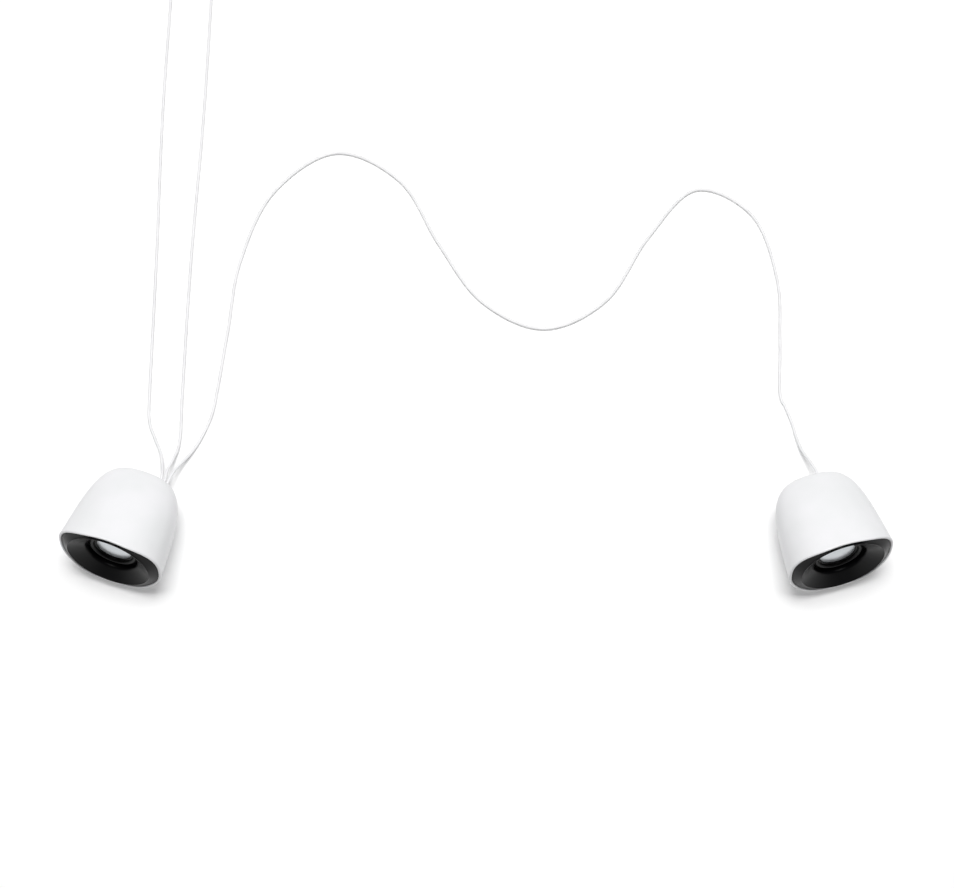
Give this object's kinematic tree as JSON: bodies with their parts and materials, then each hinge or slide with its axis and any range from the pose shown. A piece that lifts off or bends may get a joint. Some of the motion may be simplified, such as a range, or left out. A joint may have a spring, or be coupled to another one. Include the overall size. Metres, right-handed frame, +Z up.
{
  "type": "desktop speaker pair",
  "caption": "Pair of small egg-shaped desktop speakers with a dished front, a sprung cone each, a rear volume knob and their power, audio and link cords.",
  "frame": {"origin": "on the desk, at the middle of the box round both speakers without their free cords", "axes": "+Z up, +X from the left speaker to the right one, +Y to the back, away from the listener"},
  "size_m": [0.6252, 0.5795, 0.0775],
  "materials": {
    "white_shell": "gloss",
    "black_panel": "gloss",
    "foam": "matte",
    "basket_steel": "satin",
    "black_rubber": "satin",
    "black_cone": "matte",
    "silver_cap": "satin",
    "former_paper": "matte",
    "copper_wire": "satin",
    "spider_cloth": "matte",
    "plated_steel": "satin",
    "ferrite": "matte",
    "fibre_board": "matte",
    "brass": "satin",
    "screw_steel": "satin",
    "foot_rubber": "matte",
    "cord_white": "satin",
    "grip_white": "satin",
    "lead_red": "satin",
    "green_board": "satin",
    "chip_black": "matte",
    "capacitor_sleeve": "gloss",
    "connector_nylon": "matte",
    "control_body": "satin",
    "shaft_metal": "satin",
    "white_knob": "satin",
    "plug_metal": "polished",
    "tie_black": "matte"
  },
  "bodies": {
    "root": {"left_housing": "white_shell", "left_front_panel": "black_panel", "left_driver_gasket": "foam", "left_driver_basket": "basket_steel", "left_surround": "black_rubber", "left_spider": "spider_cloth", "left_top_plate": "plated_steel", "left_magnet": "ferrite", "left_yoke": "plated_steel", "left_terminal_board": "fibre_board", "left_terminal_lugs": "brass", "left_driver_screws": "screw_steel", "left_feet": "foot_rubber", "left_cord_grommet": "cord_white", "left_driver_leads": "lead_red", "right_housing": "white_shell", "right_front_panel": "black_panel", "right_driver_gasket": "foam", "right_driver_basket": "basket_steel", "right_surround": "black_rubber", "right_spider": "spider_cloth", "right_top_plate": "plated_steel", "right_magnet": "ferrite", "right_yoke": "plated_steel", "right_terminal_board": "fibre_board", "right_terminal_lugs": "brass", "right_driver_screws": "screw_steel", "right_feet": "foot_rubber", "right_cord_grommet": "cord_white", "right_driver_leads": "lead_red", "left_circuit_board": "green_board", "left_amplifier_chip": "chip_black", "left_board_capacitors": "capacitor_sleeve", "left_lead_connector": "connector_nylon", "left_volume_control": "control_body", "left_board_screws": "screw_steel", "left_cord_tails": "cord_white", "link_cord": "cord_white", "usb_cord": "cord_white", "usb_coil": "cord_white", "usb_tie": "tie_black", "usb_plug_grip": "grip_white", "usb_plug_shell": "plug_metal", "audio_cord": "cord_white", "audio_coil": "cord_white", "audio_tie": "tie_black", "audio_plug_grip": "grip_white", "audio_plug_pin": "plug_metal"},
    "left_cone": {"left_cone": "black_cone", "left_dust_cap": "silver_cap", "left_coil_former": "former_paper", "left_voice_coil": "copper_wire"},
    "right_cone": {"right_cone": "black_cone", "right_dust_cap": "silver_cap", "right_coil_former": "former_paper", "right_voice_coil": "copper_wire"},
    "volume_knob": {"left_volume_shaft": "shaft_metal", "left_volume_knob": "white_knob"}
  },
  "joints": [
    {"name": "left_cone_travel", "type": "slide", "parent": "root", "child": "left_cone", "axis": [-0.2905, -0.9212, 0.2588], "range_m": [-0.0015, 0.0015], "stiffness_N_per_m": 300, "deforming": ["left_surround", "left_spider"]},
    {"name": "right_cone_travel", "type": "slide", "parent": "root", "child": "right_cone", "axis": [0.25, -0.933, 0.2588], "range_m": [-0.0015, 0.0015], "stiffness_N_per_m": 300, "deforming": ["right_surround", "right_spider"]},
    {"name": "volume_turn", "type": "hinge", "parent": "root", "child": "volume_knob", "pos_m": [-0.26227, 0.04339, 0.02191], "axis": [0.2905, 0.9212, -0.2588], "range_deg": [-150, 150]}
  ]
}
